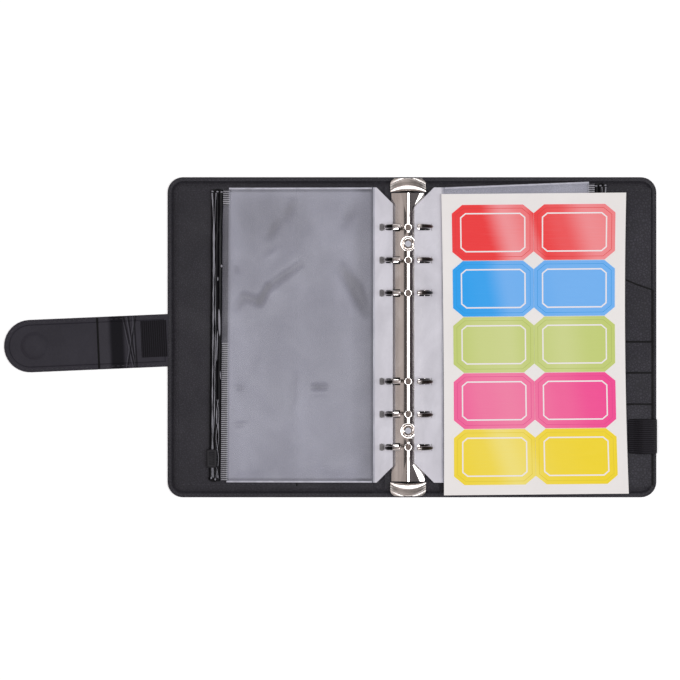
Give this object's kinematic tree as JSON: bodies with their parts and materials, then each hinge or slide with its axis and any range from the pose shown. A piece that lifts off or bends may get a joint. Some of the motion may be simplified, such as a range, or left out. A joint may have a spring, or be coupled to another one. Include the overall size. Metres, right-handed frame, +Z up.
{
  "type": "budget binder",
  "caption": "Open ring binder with a soft dark leather cover, a strap, see-through zip envelopes on a sprung ring mechanism and a loose sheet of coloured labels.",
  "frame": {"origin": "centre of the outer face of the spine, on the surface that the open binder lies on", "axes": "+X towards the back cover, +Y towards the head of the binder, +Z up out of the open binder"},
  "size_m": [0.3798, 0.186, 0.0274],
  "materials": {
    "leather": "fine-grained matt",
    "lining": "fine-grained matt",
    "board": "plain",
    "elastic": "ribbed woven",
    "chrome": "polished",
    "steel": "plain",
    "magnet": "plain",
    "film": "frosted, see-through",
    "zip": "gloss",
    "sheet": "smooth",
    "labels_red": "gloss",
    "labels_blue": "gloss",
    "labels_green": "gloss",
    "labels_pink": "gloss",
    "labels_yellow": "gloss"
  },
  "bodies": {
    "root": {"spine_skin": "leather", "spine_board": "board", "spine_lining": "lining", "front_fold_leather": "leather", "back_fold_leather": "leather", "ring_rail": "chrome", "rail_rivet_top": "chrome", "rail_rivet_bottom": "chrome"},
    "left_rings": {"left_blade": "steel", "left_ring_1": "chrome", "left_ring_2": "chrome", "left_ring_3": "chrome", "left_ring_4": "chrome", "left_ring_5": "chrome", "left_ring_6": "chrome"},
    "right_rings": {"right_blade": "steel", "right_ring_1": "chrome", "right_ring_2": "chrome", "right_ring_3": "chrome", "right_ring_4": "chrome", "right_ring_5": "chrome", "right_ring_6": "chrome"},
    "top_lever": {"top_lever": "chrome"},
    "bottom_lever": {"bottom_lever": "chrome"},
    "front_cover": {"front_skin": "leather", "front_board": "board", "front_lining": "lining", "front_slip_pocket": "lining", "strap_root": "leather"},
    "back_cover": {"back_skin": "leather", "back_board": "board", "back_lining": "lining", "back_slip_pocket": "lining", "memo_pocket": "lining", "card_slot_1": "lining", "card_slot_2": "lining", "card_slot_3": "lining", "pen_loop": "elastic", "catch_magnet": "magnet"},
    "strap_base": {"strap_bridge": "leather", "strap_elastic": "elastic"},
    "strap_tip": {"strap_tip_outer": "leather", "strap_tip_lining": "lining", "strap_magnet": "magnet"},
    "left_margin": {"left_punched_margin": "film"},
    "left_pouch": {"left_back_film": "film", "left_front_film": "film", "left_zip_track": "zip"},
    "left_slider": {"left_zip_slider": "zip"},
    "right_margin": {"right_punched_margin": "film"},
    "right_pouch": {"right_back_film": "film", "right_front_film": "film", "right_zip_track": "zip"},
    "right_slider": {"right_zip_slider": "zip"},
    "label_sheet": {"label_backing": "sheet", "labels_red": "labels_red", "labels_blue": "labels_blue", "labels_green": "labels_green", "labels_pink": "labels_pink", "labels_yellow": "labels_yellow"}
  },
  "joints": [
    {"name": "front_cover_fold", "type": "hinge", "parent": "root", "child": "front_cover", "pos_m": [-0.01918, 0, 0.0015], "axis": [0, 1, 0], "range_deg": [0, 90]},
    {"name": "back_cover_fold", "type": "hinge", "parent": "root", "child": "back_cover", "pos_m": [0.01918, 0, 0.0015], "axis": [0, -1, 0], "range_deg": [0, 90]},
    {"name": "left_margin_turn", "type": "hinge", "parent": "root", "child": "left_margin", "pos_m": [-0.0059, 0, 0.0142], "axis": [0, 1, 0], "range_deg": [0, 90]},
    {"name": "right_margin_turn", "type": "hinge", "parent": "root", "child": "right_margin", "pos_m": [0.0011, 0, 0.0142], "axis": [0, -1, 0], "range_deg": [0, 90]},
    {"name": "left_pouch_lift", "type": "hinge", "parent": "left_margin", "child": "left_pouch", "pos_m": [-0.02269, 0, 0.00952], "axis": [0, -1, 0], "range_deg": [-90, 0]},
    {"name": "right_pouch_lift", "type": "hinge", "parent": "right_margin", "child": "right_pouch", "pos_m": [0.0179, 0, 0.0097], "axis": [0, 1, 0], "range_deg": [-90, 0]},
    {"name": "left_zip_slide", "type": "slide", "parent": "left_pouch", "child": "left_slider", "axis": [0, 1, 0], "range_m": [0, 0.149]},
    {"name": "right_zip_slide", "type": "slide", "parent": "right_pouch", "child": "right_slider", "axis": [0, 1, 0], "range_m": [0, 0.155]},
    {"name": "label_sheet_slide", "type": "slide", "parent": "right_pouch", "child": "label_sheet", "axis": [0, 1, 0], "range_m": [0, 0.19]},
    {"name": "ring_close", "type": "hinge", "parent": "root", "child": "left_rings", "pos_m": [-0.011, 0, 0.0047], "axis": [0, 1, 0], "range_deg": [0, 12.6]},
    {"name": "right_ring_close", "type": "hinge", "parent": "root", "child": "right_rings", "pos_m": [0.0062, 0, 0.0047], "axis": [0, -1, 0], "range_deg": [0, 12.6]},
    {"name": "top_lever_lift", "type": "hinge", "parent": "root", "child": "top_lever", "pos_m": [-0.0024, 0.0851, 0.0084], "axis": [1, 0, 0], "range_deg": [0, 18.01]},
    {"name": "bottom_lever_lift", "type": "hinge", "parent": "root", "child": "bottom_lever", "pos_m": [-0.0024, -0.0851, 0.0084], "axis": [-1, 0, 0], "range_deg": [0, 18.01]},
    {"name": "strap_base_fold", "type": "hinge", "parent": "front_cover", "child": "strap_base", "pos_m": [-0.1443, 0, 0.0017], "axis": [0, 1, 0], "range_deg": [0, 90]},
    {"name": "strap_tip_fold", "type": "hinge", "parent": "strap_base", "child": "strap_tip", "pos_m": [-0.18536, 0, 0.0017], "axis": [0, 1, 0], "range_deg": [0, 90]}
  ],
  "couplings": [
    {"joint": "left_margin_turn", "follows": "front_cover_fold", "ratio": 1},
    {"joint": "right_margin_turn", "follows": "back_cover_fold", "ratio": 1},
    {"joint": "right_ring_close", "follows": "ring_close", "ratio": 1},
    {"joint": "top_lever_lift", "follows": "ring_close", "ratio": 1.4286},
    {"joint": "bottom_lever_lift", "follows": "ring_close", "ratio": 1.4286}
  ]
}
